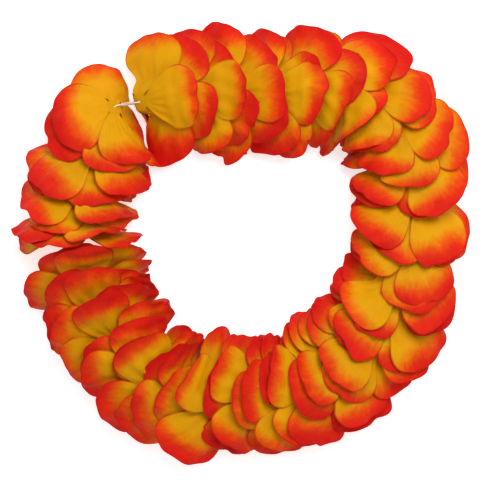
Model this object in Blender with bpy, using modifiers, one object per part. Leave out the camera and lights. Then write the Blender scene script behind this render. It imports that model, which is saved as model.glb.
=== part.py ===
"""A lei: double flowers of thin fabric threaded into a closed loop, held apart by clear straws.

The loop lies on a table. Each flower is two layers of four petals, toppled along the thread
like a row of dominoes. One run topples clockwise and a short run on the left the other way,
so the flowers stand back to back at the upper left and face to face at the lower left.
"""
import math
import random
from dataclasses import dataclass

import bmesh
import bpy
import numpy as np
from mathutils import Vector

MM = 0.001

# The thread
THREAD_HEIGHT = 36 * MM
THREAD_RADIUS = 0.5 * MM
THREAD_STRAIGHT = 3 * MM
ROUTE_STEPS = 40
KNOT_AFTER = 24
KNOT_RADIUS = 0.8 * MM
KNOT_LEAN = 0.4
KNOT_SIDES = (8, 5)
TAIL_LENGTH = 9 * MM

# The clear straws that hold the flowers apart
STRAW_RADIUS = 1.6 * MM
STRAW_BORE = 1.1 * MM
STRAW_SIDES = 6
STRAW_SETBACK = 0.8 * MM

# The eye at the middle of a flower, where its layers are joined and the thread goes through
EYE_RADIUS = 3.6 * MM
EYE_DEPTH = 3 * MM
EYE_BORE = 1.5 * MM
BORE_LENGTH = 12 * MM
EYE_SIDES = 6

# A petal, before the small differences between one and the next
PETALS_IN_LAYER = 4
PETAL_LENGTH = 60 * MM
PETAL_WIDTH = 60 * MM
PETAL_ROOT = 3 * MM
FABRIC = 0.8 * MM
LAYER_LIFT = 0.8 * MM
RING_RADIUS = 8 * MM
ROOT_HALF_ANGLE = math.radians(36)
PETAL_COLUMNS = 2
PETAL_ROWS = 3

# Half a petal's width at its root, and how it swells and narrows again towards its tip
OUTLINE = (0.42, 1.12, -0.37)
NOTCH_WIDTH = 5 * MM

# Where along a petal each part of its bend comes in, from the eye, and over what length
CUP_SPREAD = 14 * MM
BOW_SPREAD = 20 * MM
BOW_TURN = 0.35
CURL_FROM = 0.7
CURL_LIMIT = 1.5
DOME_FROM = 6 * MM
DOME_SPREAD = 20 * MM
TWIST_FROM = 4 * MM
TWIST_SPREAD = 12 * MM
WAVES = 1.3
BEND_STEPS = 60
LONGEST = 1.1 * PETAL_LENGTH

# What one petal differs by from the next: degrees, then mm, then shares
TURN_RANGE = (-6, 6)
YAW_RANGE = (-3, 3)
LAYER_TURN_RANGE = (8, 36)
CUP_RANGE = (-2, 2)
BOW_RANGE = (15, 23)
CURL_RANGE = (-5, 4)
DOME_RANGE = (6, 8.5)
WAVE_RANGE = (0.4, 1.2)
NOTCHES = (0, 0, 1.5, 2.5)
DROOP_RANGE = (3, 6)
TWIST_RANGE = (-0.06, 0.12)
WIDTH_RANGE = (0.93, 1.06)
LENGTH_RANGE = (0.9, 1.08)

# In degrees: how the two layers of a flower close apart from each other, how much further its
# upper petals fall, and how far its lowest petals lean back under it, most of all on the last
# flower, where they reach into the gap between the two runs
FRONT_CUP = 3.5
BACK_CUP = -1.5
UPPER_FALL = 3
LOWER_LEAN = 15
LAST_LEAN = 45

# Colours of the plain materials
FABRIC_COLOUR = (0.78, 0.24, 0.01)
STRAW_COLOUR = (0.9, 0.88, 0.84)
THREAD_COLOUR = (0.85, 0.82, 0.78)

# How petals lie against their neighbours and the table
CELL = 1.5 * MM
MAP_HALF = 72 * MM
NEIGHBOUR_GAP = 2.4 * MM
LAYER_GAP = 1.4 * MM
INNER_RADIUS = 90 * MM
FLOOR_EASE = 4 * MM
LOWEST = 0.25 * MM
FLOOR_SPREAD = 0.5
TABLE_BLOCK = 200 * MM
PUSH_START = 7 * MM
PUSH_SPREAD = 12 * MM
PUSH_STEPS = 9
PUSH_STEP = 12 * MM
PUSH_ENOUGH = 0.05 * MM
SETTLED_SHARE = 99.5
CLEAR_FROM = 12 * MM
LAYER_FROM = 14 * MM
FAR_LAYER_FROM = 16 * MM
COUNT_FROM = 5 * MM
PARTING = 7 * MM
SEED = 11

# Moves the loop so that the middle of the whole lei's outline is at the origin, in mm
MIDDLE = (6.24, 5.52)

# Each flower clockwise from the upper left: its place in mm right of and above the middle of
# the loop, the way it opens along the thread (1 clockwise, -1 back), and in degrees how far it
# has toppled that way, its turn about the upright, the turn of its petals and how far it closes.
FLOWERS = [
    (-99, 124.5, 1, 58, 8, 14, 4),
    (-66, 131, 1, 56, 0, 0, 4),
    (-31, 133, 1, 58, 4, 8, 4),
    (2, 133, 1, 56, -3, 0, 4),
    (36, 134, 1, 54, 2, 20, 4),
    (72, 138, 1, 52, -5, 40, 4),
    (107, 130, 1, 54, -3, 48, 4),
    (133, 107, 1, 56, 4, 42, 4),
    (146, 76, 1, 58, 0, 52, 4),
    (151, 41, 1, 56, -4, 46, 4),
    (149, 8, 1, 58, 3, 56, 4),
    (142, -24, 1, 57, 2, 42, 4),
    (131, -54, 1, 56, 5, 20, 4),
    (114, -83, 1, 54, 4, 5, 4),
    (92, -108, 1, 52, 4, 10, 5),
    (66, -129, 1, 50, 0, 25, 6),
    (39, -142, 1, 50, -3, 10, 6),
    (12, -147, 1, 50, -6, 32, 6),
    (-14, -147, 1, 50, -9, 20, 6),
    (-43, -150, 1, 50, -7, 35, 5),
    (-72, -142, 1, 50, -3, 12, 4),
    (-96, -121, 1, 46, 0, 30, 4),
    (-115, -99, 1, 38, 2, 5, 4),
    (-132, -73, 1, 42, 0, 0, 4),
    (-144, -46, 1, 31, 0, 0, 2),
    (-158, 8.2, -1, 17, 0, 30, 0),
    (-150.5, 51, -1, 28, 0, 40, 4),
    (-139, 82, -1, 44, 4, 48, 4),
    (-124, 119, -1, 52, 8, 40, 4),
]


@dataclass
class Petal:
    """One petal's shape and place; angles in radians, lengths in metres."""
    way: int
    station: float
    dip: float
    yaw: float
    turn: float
    lift: float
    cup: float
    bow: float
    curl: float
    dome: float
    twist: float
    wave: float
    phase: float
    width: float
    length: float
    notch: float
    droop: float
    push: float = 0.0


def smooth(value):
    """Eases from 0 to 1 as the value goes from 0 to 1."""
    value = np.clip(value, 0, 1)
    return value * value * (3 - 2 * value)


class Route:
    """The closed curve of the thread, read by distance along it."""

    def __init__(self):
        places = (np.array([flower[:2] for flower in FLOWERS]) + MIDDLE) * MM
        before, after = np.roll(places, 1, 0), np.roll(places, -1, 0)
        beyond = np.roll(places, -2, 0)
        stretches = []
        for t in np.arange(ROUTE_STEPS) / ROUTE_STEPS:
            stretches.append(0.5 * (2 * places + (after - before) * t
                                    + (2 * before - 5 * places + 4 * after - beyond) * t ** 2
                                    + (3 * places - before - 3 * after + beyond) * t ** 3))
        points = np.stack(stretches, axis=1).reshape(-1, 2)
        steps = np.linalg.norm(np.roll(points, -1, 0) - points, axis=1)
        travelled = np.concatenate([[0], np.cumsum(steps)])
        self.distances = travelled
        self.length = travelled[-1]
        self.stations = travelled[:-1:ROUTE_STEPS]
        self.points = np.vstack([points, points[:1]])
        aims = (np.roll(points, -1, 0) - points) / steps[:, None]
        eased = sum(np.roll(aims, shift, 0) for shift in range(-ROUTE_STEPS, ROUTE_STEPS))
        self.aims = np.vstack([eased, eased[:1]])

    def read(self, table, distance):
        """One column pair of the curve's tables at these distances."""
        distance = np.mod(distance, self.length)
        return [np.interp(distance, self.distances, table[:, axis]) for axis in (0, 1)]

    def to_world(self, along, out, up):
        """Bends thread coordinates (along, out of the loop, up) round the loop."""
        x, y = self.read(self.points, along)
        aim_x, aim_y = self.read(self.aims, along)
        size = np.hypot(aim_x, aim_y)
        return np.stack([x - aim_y / size * out, y + aim_x / size * out, up + THREAD_HEIGHT], axis=-1)


def push_share(reach):
    """How much of a petal's push acts this far from the eye: none at its root, all beyond."""
    return smooth((reach - PUSH_START) / PUSH_SPREAD)


def flat_petal(petal, across, along):
    """Turns unit-square coordinates into a round petal laid flat: sideways and from the eye."""
    wide = across * np.sqrt(1 - along ** 2 / 2)
    part = (along * np.sqrt(1 - across ** 2 / 2) + 1) / 2
    root, swell, narrow = OUTLINE
    side = wide * petal.width / 2 * (root + swell * part + narrow * part ** 2)
    reach = PETAL_ROOT + (petal.length - PETAL_ROOT) * part
    reach = reach - petal.notch * np.exp(-(side / NOTCH_WIDTH) ** 2) * part ** 6
    return side, reach


def petal_hollow(petal, side, reach):
    """How far a petal's edges stand forward of its middle line, with its twist and waves."""
    across = side / (PETAL_WIDTH / 2)
    grow = smooth((reach - DOME_FROM) / DOME_SPREAD)
    hollow = petal.dome * across ** 2 * grow
    hollow = hollow + petal.twist * side * smooth((reach - TWIST_FROM) / TWIST_SPREAD)
    waves = np.sin(2 * math.pi * WAVES * across + petal.phase) * (reach / PETAL_LENGTH) ** 3
    return hollow + petal.wave * waves * grow


def curve_petal(petal, side, reach):
    """Bends the flat petal like a spoon: how far it goes out, and how far forward."""
    grid = np.linspace(0, LONGEST, BEND_STEPS)
    share = grid / PETAL_LENGTH
    slope = petal.cup * smooth(grid / CUP_SPREAD)
    slope = slope + petal.bow * (share - BOW_TURN) * smooth(grid / BOW_SPREAD)
    slope = slope + petal.curl * np.clip((share - CURL_FROM) / (1 - CURL_FROM), 0, CURL_LIMIT) ** 2
    middles = (slope[1:] + slope[:-1]) / 2
    outs = np.concatenate([[0], np.cumsum(np.cos(middles) * grid[1])])
    forwards = np.concatenate([[0], np.cumsum(np.sin(middles) * grid[1])])
    here = np.interp(reach, grid, slope)
    hollow = petal_hollow(petal, side, reach)
    out = np.interp(reach, grid, outs) - hollow * np.sin(here)
    forward = np.interp(reach, grid, forwards) + petal.lift + hollow * np.cos(here)
    return out, forward


def petal_surface(petal, side, reach):
    """Points of the flat petal on its bent middle surface, in thread coordinates."""
    out, forward = curve_petal(petal, side, reach)
    level = out * math.cos(petal.turn) - side * math.sin(petal.turn)
    rise = out * math.sin(petal.turn) + side * math.cos(petal.turn)
    ahead = math.cos(petal.dip) * forward + math.sin(petal.dip) * rise
    ahead = petal.way * (ahead + petal.push * push_share(reach))
    up = math.cos(petal.dip) * rise - math.sin(petal.dip) * forward
    ahead, level = (ahead * math.cos(petal.yaw) - level * math.sin(petal.yaw),
                    ahead * math.sin(petal.yaw) + level * math.cos(petal.yaw))
    share = np.clip(reach / PETAL_LENGTH, 0, 1.2)
    up = up - petal.droop * share ** 2 * abs(math.cos(petal.turn))
    height = up + THREAD_HEIGHT - LOWEST
    eased = FLOOR_EASE * np.exp((np.minimum(height, FLOOR_EASE) - FLOOR_EASE) / FLOOR_EASE)
    eased = np.where(height < FLOOR_EASE, eased, height)
    ahead = ahead + petal.way * FLOOR_SPREAD * (eased - height)
    return petal.station + ahead, level, eased - THREAD_HEIGHT + LOWEST


def draw_petals(route):
    """The petals of every flower, eight to each: the back layer's, then the front layer's."""
    draw = random.Random(SEED)
    flowers = []
    for station, flower in zip(route.stations, FLOWERS):
        way, dip, yaw, roll, close = flower[2:]
        lean = LAST_LEAN if flower is FLOWERS[-1] else LOWER_LEAN
        yaw += draw.uniform(*YAW_RANGE)
        layer_turn = draw.uniform(*LAYER_TURN_RANGE) * draw.choice((-1, 1))
        petals = []
        for number in range(2 * PETALS_IN_LAYER):
            front = number >= PETALS_IN_LAYER
            place = number % PETALS_IN_LAYER
            spread = place * 360 / PETALS_IN_LAYER
            turn = math.radians(roll + spread + draw.uniform(*TURN_RANGE) + front * layer_turn)
            cup = close + (FRONT_CUP if front else BACK_CUP) + draw.uniform(*CUP_RANGE)
            cup += UPPER_FALL * max(0, math.sin(turn))
            down = max(0, -math.sin(turn)) ** 2
            cup = cup * (1 - down) + (dip - lean) * down
            petals.append(Petal(
                way=way, station=station, dip=math.radians(dip), yaw=math.radians(yaw),
                turn=turn, lift=(LAYER_LIFT if front else -LAYER_LIFT),
                cup=math.radians(cup),
                bow=math.radians(draw.uniform(*BOW_RANGE)),
                curl=math.radians(draw.uniform(*CURL_RANGE)),
                dome=draw.uniform(*DOME_RANGE) * MM, twist=draw.uniform(*TWIST_RANGE),
                wave=draw.uniform(*WAVE_RANGE) * MM, phase=draw.uniform(0, 2 * math.pi),
                width=PETAL_WIDTH * draw.uniform(*WIDTH_RANGE),
                length=PETAL_LENGTH * draw.uniform(*LENGTH_RANGE),
                notch=draw.choice(NOTCHES) * MM, droop=draw.uniform(*DROOP_RANGE) * MM))
        flowers.append(petals)
    return flowers


class Pile:
    """How far along the thread the petals placed so far reach, over cells of its cross-section."""
    points = np.meshgrid(np.linspace(-1, 1, 49), np.linspace(-0.98, 1, 60), indexing="ij")
    count = int(2 * MAP_HALF / CELL)

    def __init__(self, sense, start):
        self.sense = sense
        self.reached = np.full((self.count, self.count), sense * start)

    def copy(self):
        twin = Pile(self.sense, 0)
        twin.reached = self.reached.copy()
        return twin

    def look(self, petal):
        """The petal's points as cells, their advance in the pile's sense and their reach."""
        side, reach = flat_petal(petal, *self.points)
        along, level, up = petal_surface(petal, side, reach)
        columns = np.clip(((level + MAP_HALF) / CELL).astype(int), 0, self.count - 1)
        rows = np.clip(((up + MAP_HALF) / CELL).astype(int), 0, self.count - 1)
        return (columns, rows), self.sense * along, reach

    def add(self, petal, beyond):
        """Counts the petal in, from this far out of its eye."""
        cells, advance, reach = self.look(petal)
        used = reach > beyond
        np.maximum.at(self.reached, (cells[0][used], cells[1][used]), advance[used])

    def clear(self, petal, gap, beyond):
        """Bends the petal on in the pile's sense until it lies clear of the pile."""
        for _ in range(PUSH_STEPS):
            cells, advance, reach = self.look(petal)
            used = reach > beyond
            squeeze = 1 + np.minimum(cells[0] * CELL - MAP_HALF, 0) / INNER_RADIUS
            lack = (self.reached[cells] + gap / squeeze - advance)[used]
            needs = np.where(lack > 0, lack / push_share(reach[used]), 0)
            need = np.percentile(needs, SETTLED_SHARE)
            if need < PUSH_ENOUGH:
                return
            petal.push += self.sense * petal.way * min(need, PUSH_STEP)


def settle_flower(petals, pile):
    """Bends a flower clear of the pile, the layer next to the pile first, and counts it in."""
    back, front = petals[:PETALS_IN_LAYER], petals[PETALS_IN_LAYER:]
    near, far = (back, front) if pile.sense == petals[0].way else (front, back)
    for petal in near:
        pile.clear(petal, NEIGHBOUR_GAP, CLEAR_FROM)
    own = pile.copy()
    for petal in near:
        own.add(petal, LAYER_FROM)
    for petal in far:
        pile.clear(petal, NEIGHBOUR_GAP, CLEAR_FROM)
        own.clear(petal, LAYER_GAP, FAR_LAYER_FROM)
    for petal in petals:
        pile.add(petal, COUNT_FROM)


def arrange(route):
    """Settles the run that topples clockwise, then the other run back to where they meet.

    The two runs part a little behind the first flower, and no petal crosses over there.
    """
    flowers = draw_petals(route)
    meeting = next(number for number, flower in enumerate(FLOWERS) if flower[2] < 0)
    clockwise = Pile(1, -PARTING)
    for petals in flowers[:meeting + 1]:
        settle_flower(petals, clockwise)
    backward = Pile(-1, route.length - PARTING)
    for petals in reversed(flowers[meeting + 1:]):
        settle_flower(petals, backward)
    return flowers


def material(name, colour, roughness):
    """A plain material for the solids of one kind."""
    made = bpy.data.materials.new(name)
    made.use_nodes = True
    shader = made.node_tree.nodes["Principled BSDF"]
    shader.inputs["Base Color"].default_value = (*colour, 1)
    shader.inputs["Roughness"].default_value = roughness
    shader.inputs["Metallic"].default_value = 0
    return made


def collection(name):
    """A collection linked to the scene."""
    made = bpy.data.collections.new(name)
    bpy.context.scene.collection.children.link(made)
    return made


def move_to(thing, group):
    """Puts an object that an operator made into one collection."""
    for old in list(thing.users_collection):
        old.objects.unlink(thing)
    group.objects.link(thing)
    thing.display_type = "WIRE" if group.hide_render else "TEXTURED"


def freeze(thing):
    """Makes an object's modifiers its own mesh."""
    graph = bpy.context.evaluated_depsgraph_get()
    mesh = bpy.data.meshes.new_from_object(thing.evaluated_get(graph))
    thing.modifiers.clear()
    thing.data = mesh
    thing.data.name = thing.name


def combine(thing, operation, group):
    """Joins a collection's solids to the object, or cuts them from it, and removes them."""
    step = thing.modifiers.new(operation.title(), "BOOLEAN")
    step.operation = operation
    step.operand_type = "COLLECTION"
    step.collection = group
    step.solver = "MANIFOLD"
    freeze(thing)
    for used in list(group.objects):
        bpy.data.objects.remove(used)


def fill_pockets(thing):
    """Fills the pockets that a union sealed between petals, by dropping their inner walls."""
    work = bmesh.new()
    work.from_mesh(thing.data)
    left = set(work.verts)
    shells = []
    while left:
        shell, edge = set(), [left.pop()]
        while edge:
            vertex = edge.pop()
            shell.add(vertex)
            near = {link.other_vert(vertex) for link in vertex.link_edges} & left
            left -= near
            edge.extend(near)
        shells.append(shell)
    shells.sort(key=len)
    bmesh.ops.delete(work, geom=[vertex for shell in shells[:-1] for vertex in shell], context="VERTS")
    work.to_mesh(thing.data)
    work.free()


def cylinder(name, radius, depth, sides, place, aim, group):
    """A cylinder about a point, its axis along the aim."""
    bpy.ops.mesh.primitive_cylinder_add(vertices=sides, radius=radius, depth=depth, location=place,
                                        rotation=aim.to_track_quat("Z", "Y").to_euler())
    made = bpy.context.object
    made.name = name
    move_to(made, group)
    return made


def petal_sheet(work, petal, route):
    """Adds a petal to a layer's mesh, a grid bent to its surface, and returns its root's points."""
    grid = bmesh.ops.create_grid(work, x_segments=PETAL_COLUMNS, y_segments=PETAL_ROWS, size=1)
    corners = np.array([vertex.co[:2] for vertex in grid["verts"]])
    side, reach = flat_petal(petal, corners[:, 0], corners[:, 1])
    root = corners[:, 1] < -0.99
    angle = corners[:, 0] * ROOT_HALF_ANGLE
    side = np.where(root, RING_RADIUS * np.sin(angle), side)
    reach = np.where(root, RING_RADIUS * np.cos(angle), reach)
    for vertex, place in zip(grid["verts"], route.to_world(*petal_surface(petal, side, reach))):
        vertex.co = place
    return [vertex for vertex, low in zip(grid["verts"], root) if low]


def layer_solid(petals, route, group):
    """A layer of fabric: its petals round a middle, thickened."""
    work = bmesh.new()
    ring = []
    for petal in petals:
        ring.extend(petal_sheet(work, petal, route))
    bmesh.ops.contextual_create(work, geom=ring)
    bmesh.ops.triangulate(work, faces=work.faces, quad_method="FIXED")
    bmesh.ops.recalc_face_normals(work, faces=work.faces)
    mesh = bpy.data.meshes.new("Layer")
    work.to_mesh(mesh)
    work.free()
    made = bpy.data.objects.new("Layer", mesh)
    group.objects.link(made)
    thick = made.modifiers.new("Fabric", "SOLIDIFY")
    thick.thickness = FABRIC
    thick.offset = 0
    freeze(made)


def eye_aim(petal, route):
    """The direction that a petal's flower faces, in the world."""
    ahead = math.cos(petal.dip) * petal.way * MM
    tip = route.to_world(petal.station + ahead * math.cos(petal.yaw), ahead * math.sin(petal.yaw),
                         -math.sin(petal.dip) * MM)
    return Vector(tip - route.to_world(petal.station, 0, 0)).normalized()


def thread_aim(number, places):
    """The thread's direction as it goes through one flower."""
    before, after = places[number - 1], places[(number + 1) % len(places)]
    return ((after - places[number]).normalized() + (places[number] - before).normalized()).normalized()


def make_flower(number, petals, route, places, finish, group, cutters):
    """One flower: its layers on their eye, bored for the thread, its lowest petals flat below."""
    place = places[number]
    flower = cylinder(f"bloom_{number + 1:02d}", EYE_RADIUS, EYE_DEPTH, EYE_SIDES, place,
                      eye_aim(petals[0], route), group)
    flower.data.transform(flower.matrix_basis)
    flower.matrix_basis.identity()
    for layer in (petals[:PETALS_IN_LAYER], petals[PETALS_IN_LAYER:]):
        layer_solid(layer, route, cutters)
    combine(flower, "UNION", cutters)
    cylinder("Bore", EYE_BORE, BORE_LENGTH, EYE_SIDES, place, thread_aim(number, places), cutters)
    bpy.ops.mesh.primitive_cube_add(size=TABLE_BLOCK, location=(place.x, place.y, -TABLE_BLOCK / 2))
    move_to(bpy.context.object, cutters)
    combine(flower, "DIFFERENCE", cutters)
    fill_pockets(flower)
    flower.data.materials.clear()
    flower.data.materials.append(finish)


def eye_reach(petal, route, aim):
    """How much of the thread past its straight stretch the leaning eye takes from a straw."""
    lean = eye_aim(petal, route).angle(aim)
    lean = min(lean, math.pi - lean)
    reach = EYE_DEPTH / 2 / math.cos(lean) + STRAW_RADIUS * math.tan(lean) + STRAW_SETBACK
    return max(reach - THREAD_STRAIGHT, STRAW_SETBACK)


def make_straw(number, flowers, route, places, finish, group):
    """One straw over the thread between two flowers."""
    other = (number + 1) % len(places)
    leaving = places[number] + thread_aim(number, places) * THREAD_STRAIGHT
    entering = places[other] - thread_aim(other, places) * THREAD_STRAIGHT
    aim = (entering - leaving).normalized()
    start = leaving + aim * eye_reach(flowers[number][0], route, aim)
    end = entering - aim * eye_reach(flowers[other][0], route, aim)
    bpy.ops.mesh.primitive_cylinder_add(vertices=STRAW_SIDES, radius=STRAW_RADIUS,
                                        depth=(end - start).length, end_fill_type="NOTHING",
                                        location=(start + end) / 2,
                                        rotation=aim.to_track_quat("Z", "Y").to_euler())
    made = bpy.context.object
    made.name = f"straw_{number + 1:02d}"
    move_to(made, group)
    wall = made.modifiers.new("Wall", "SOLIDIFY")
    wall.thickness = STRAW_RADIUS - STRAW_BORE
    wall.offset = -1
    freeze(made)
    made.data.materials.append(finish)


def make_knot(places, cutters):
    """The knot that closes the loop, with its two cut tails."""
    middle = (places[KNOT_AFTER] + places[KNOT_AFTER + 1]) / 2
    aim = (places[KNOT_AFTER + 1] - places[KNOT_AFTER]).normalized()
    side = aim.cross(Vector((0, 0, 1)))
    for lean in (-1, 1):
        axis = aim + KNOT_LEAN * lean * side
        bpy.ops.mesh.primitive_torus_add(major_segments=KNOT_SIDES[0], minor_segments=KNOT_SIDES[1],
                                         major_radius=KNOT_RADIUS, minor_radius=THREAD_RADIUS,
                                         location=middle,
                                         rotation=axis.to_track_quat("Z", "Y").to_euler())
        move_to(bpy.context.object, cutters)
        tail = (side * lean + Vector((0, 0, 1)) + aim * lean).normalized()
        cylinder("Tail", THREAD_RADIUS, TAIL_LENGTH, STRAW_SIDES, middle + tail * TAIL_LENGTH / 2,
                 tail, cutters)


def make_thread(places, finish, group, cutters):
    """The thread: one closed loop through every flower, with its knot."""
    curve = bpy.data.curves.new("Thread route", "CURVE")
    curve.dimensions = "3D"
    curve.bevel_depth = THREAD_RADIUS
    curve.bevel_resolution = 1
    run = curve.splines.new("POLY")
    route = []
    for number, place in enumerate(places):
        straight = thread_aim(number, places) * THREAD_STRAIGHT
        route += [place - straight, place + straight]
    run.points.add(len(route) - 1)
    for point, place in zip(run.points, route):
        point.co = (*place, 1)
    run.use_cyclic_u = True
    guide = bpy.data.objects.new("Thread route", curve)
    cutters.objects.link(guide)
    graph = bpy.context.evaluated_depsgraph_get()
    made = bpy.data.objects.new("thread", bpy.data.meshes.new_from_object(guide.evaluated_get(graph)))
    bpy.data.objects.remove(guide)
    group.objects.link(made)
    make_knot(places, cutters)
    combine(made, "UNION", cutters)
    made.data.materials.clear()
    made.data.materials.append(finish)


def main():
    for old in list(bpy.data.objects):
        bpy.data.objects.remove(old)
    lei = collection("Lei")
    cutters = collection("Cutters")
    cutters.hide_render = True
    fabric = material("Fabric", FABRIC_COLOUR, 0.75)
    clear = material("Clear straw", STRAW_COLOUR, 0.2)
    white = material("Thread", THREAD_COLOUR, 0.6)

    route = Route()
    flowers = arrange(route)
    places = [Vector(route.to_world(station, 0, 0)) for station in route.stations]
    for number, petals in enumerate(flowers):
        make_flower(number, petals, route, places, fabric, lei, cutters)
        if number != KNOT_AFTER:
            make_straw(number, flowers, route, places, clear, lei)
    make_thread(places, white, lei, cutters)


main()
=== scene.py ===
"""The lei dressed: fine petals, smooth straws and a twisted cord in place of the plain solids.

The flowers are arranged by the same rule and the same draws as in the solids, so each fine
piece lies where its solid does. Lengths are in metres and angles in radians, unless a comment
says otherwise.
"""
import math
import random
from dataclasses import dataclass

import bpy
import numpy as np
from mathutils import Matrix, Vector


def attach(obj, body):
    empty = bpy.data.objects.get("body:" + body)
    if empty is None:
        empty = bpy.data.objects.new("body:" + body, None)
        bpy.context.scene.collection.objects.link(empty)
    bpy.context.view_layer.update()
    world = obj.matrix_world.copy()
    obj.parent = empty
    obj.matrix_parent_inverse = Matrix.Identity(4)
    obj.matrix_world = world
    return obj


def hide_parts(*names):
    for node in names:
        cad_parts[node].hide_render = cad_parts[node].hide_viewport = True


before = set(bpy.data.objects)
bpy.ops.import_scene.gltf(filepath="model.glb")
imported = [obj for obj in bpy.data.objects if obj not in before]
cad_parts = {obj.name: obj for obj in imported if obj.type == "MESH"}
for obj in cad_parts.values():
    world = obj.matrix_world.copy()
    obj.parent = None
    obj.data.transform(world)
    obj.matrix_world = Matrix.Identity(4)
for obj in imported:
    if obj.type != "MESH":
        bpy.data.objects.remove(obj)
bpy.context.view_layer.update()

MM = 0.001

# The thread
THREAD_HEIGHT = 36 * MM
THREAD_RADIUS = 0.5 * MM
THREAD_STRAIGHT = 3 * MM
ROUTE_STEPS = 40
KNOT_AFTER = 24
KNOT_RADIUS = 0.8 * MM
KNOT_LEAN = 0.4
TAIL_LENGTH = 9 * MM

# The clear straws that hold the flowers apart
STRAW_RADIUS = 1.6 * MM
STRAW_BORE = 1.1 * MM

# The eye at the middle of a flower, where its layers are joined and the thread goes through
EYE_RADIUS = 3.6 * MM
EYE_BORE = 1.5 * MM

# A petal, before the small differences between one and the next
PETALS_IN_LAYER = 4
PETAL_LENGTH = 60 * MM
PETAL_WIDTH = 60 * MM
PETAL_ROOT = 3 * MM
LAYER_LIFT = 0.8 * MM
RING_RADIUS = 8 * MM
ROOT_HALF_ANGLE = math.radians(36)

# Half a petal's width at its root, and how it swells and narrows again towards its tip
OUTLINE = (0.42, 1.12, -0.37)
NOTCH_WIDTH = 5 * MM

# Where along a petal each part of its bend comes in, from the eye, and over what length
CUP_SPREAD = 14 * MM
BOW_SPREAD = 20 * MM
BOW_TURN = 0.35
CURL_FROM = 0.7
CURL_LIMIT = 1.5
DOME_FROM = 6 * MM
DOME_SPREAD = 20 * MM
TWIST_FROM = 4 * MM
TWIST_SPREAD = 12 * MM
WAVES = 1.3
BEND_STEPS = 60
LONGEST = 1.1 * PETAL_LENGTH

# What one petal differs by from the next: degrees, then mm, then shares
TURN_RANGE = (-6, 6)
YAW_RANGE = (-3, 3)
LAYER_TURN_RANGE = (8, 36)
CUP_RANGE = (-2, 2)
BOW_RANGE = (15, 23)
CURL_RANGE = (-5, 4)
DOME_RANGE = (6, 8.5)
WAVE_RANGE = (0.4, 1.2)
NOTCHES = (0, 0, 1.5, 2.5)
DROOP_RANGE = (3, 6)
TWIST_RANGE = (-0.06, 0.12)
WIDTH_RANGE = (0.93, 1.06)
LENGTH_RANGE = (0.9, 1.08)

# In degrees: how the two layers of a flower close apart from each other, how much further its
# upper petals fall, and how far its lowest petals lean back under it, most of all on the last
# flower, where they reach into the gap between the two runs
FRONT_CUP = 3.5
BACK_CUP = -1.5
UPPER_FALL = 3
LOWER_LEAN = 15
LAST_LEAN = 45

# How petals lie against their neighbours and the table. The petals laid so far are kept as a map
# of cells, and each petal is read at a grid of points, which begins just past its root.
CELL = 1.5 * MM
MAP_HALF = 72 * MM
READ_COLUMNS = 49
READ_ROWS = 60
READ_START = -0.98
NEIGHBOUR_GAP = 2.4 * MM
LAYER_GAP = 1.4 * MM
INNER_RADIUS = 90 * MM
FLOOR_EASE = 4 * MM
LOWEST = 0.25 * MM
FLOOR_SPREAD = 0.5
PUSH_START = 7 * MM
PUSH_SPREAD = 12 * MM
PUSH_STEPS = 9
PUSH_STEP = 12 * MM
PUSH_ENOUGH = 0.05 * MM
SETTLED_SHARE = 99.5
CLEAR_FROM = 12 * MM
LAYER_FROM = 14 * MM
FAR_LAYER_FROM = 16 * MM
COUNT_FROM = 5 * MM
PARTING = 7 * MM
SEED = 11

# Moves the loop so that the middle of the whole lei's outline is at the origin, in mm
MIDDLE = (6.24, 5.52)

# Each flower clockwise from the upper left: its place in mm right of and above the middle of
# the loop, the way it opens along the thread (1 clockwise, -1 back), and in degrees how far it
# has toppled that way, its turn about the upright, the turn of its petals and how far it closes.
FLOWERS = [
    (-99, 124.5, 1, 58, 8, 14, 4),
    (-66, 131, 1, 56, 0, 0, 4),
    (-31, 133, 1, 58, 4, 8, 4),
    (2, 133, 1, 56, -3, 0, 4),
    (36, 134, 1, 54, 2, 20, 4),
    (72, 138, 1, 52, -5, 40, 4),
    (107, 130, 1, 54, -3, 48, 4),
    (133, 107, 1, 56, 4, 42, 4),
    (146, 76, 1, 58, 0, 52, 4),
    (151, 41, 1, 56, -4, 46, 4),
    (149, 8, 1, 58, 3, 56, 4),
    (142, -24, 1, 57, 2, 42, 4),
    (131, -54, 1, 56, 5, 20, 4),
    (114, -83, 1, 54, 4, 5, 4),
    (92, -108, 1, 52, 4, 10, 5),
    (66, -129, 1, 50, 0, 25, 6),
    (39, -142, 1, 50, -3, 10, 6),
    (12, -147, 1, 50, -6, 32, 6),
    (-14, -147, 1, 50, -9, 20, 6),
    (-43, -150, 1, 50, -7, 35, 5),
    (-72, -142, 1, 50, -3, 12, 4),
    (-96, -121, 1, 46, 0, 30, 4),
    (-115, -99, 1, 38, 2, 5, 4),
    (-132, -73, 1, 42, 0, 0, 4),
    (-144, -46, 1, 31, 0, 0, 2),
    (-158, 8.2, -1, 17, 0, 30, 0),
    (-150.5, 51, -1, 28, 0, 40, 4),
    (-139, 82, -1, 44, 4, 48, 4),
    (-124, 119, -1, 52, 8, 40, 4),
]

# The cloth's thickness, and the grid of points of each fine petal: it starts at this place between
# the petal's root (-1) and its tip (1), and this share of it eases out of the flower's round middle
CLOTH = 0.35 * MM
FINE_COLUMNS = 28
FINE_ROWS = 26
FINE_START = -0.82
RING_BLEND = 0.4

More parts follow.
